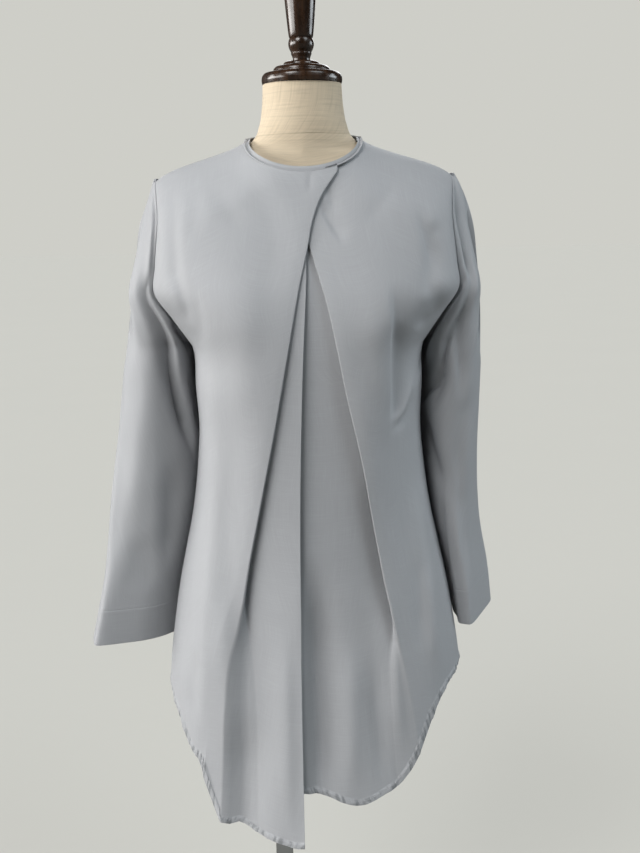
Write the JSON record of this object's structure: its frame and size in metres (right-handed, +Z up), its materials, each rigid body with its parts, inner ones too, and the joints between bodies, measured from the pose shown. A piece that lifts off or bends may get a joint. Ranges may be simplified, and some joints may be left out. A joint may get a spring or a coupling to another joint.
{
  "type": "baju kurung tunic on a dress form",
  "caption": "Long-sleeved round-neck tunic with a crossed front that opens over folded pleats and a curved hem, worn on a limbless linen dress form on a pole stand.",
  "frame": {"origin": "on the base's flat underside, straight below the form's neck", "axes": "+Z up, -Y towards the wearer's front, +X towards the wearer's left"},
  "size_m": [0.5641, 0.35, 1.657],
  "materials": {
    "grey_crepe": "smooth matt crepe with a soft sheen",
    "form_linen": "plain linen with slubs, pulled tight",
    "dark_wood": "dark stain under gloss varnish",
    "chrome": "bright plate",
    "stand_metal": "satin dark lacquer",
    "button_shell": "soft gloss, dyed to the cloth",
    "loop_thread": "twisted thread"
  },
  "bodies": {
    "root": {"front_right": "grey_crepe", "front_left": "grey_crepe", "back": "grey_crepe", "sleeve_right": "grey_crepe", "sleeve_left": "grey_crepe", "cuff_right": "grey_crepe", "cuff_left": "grey_crepe", "neck_binding": "grey_crepe", "neck_button": "button_shell", "button_loop": "loop_thread", "torso_form": "form_linen", "neck_cap": "dark_wood", "neck_column": "dark_wood", "pole_socket": "stand_metal", "stand_pole": "chrome", "stand_base": "stand_metal"}
  },
  "joints": []
}
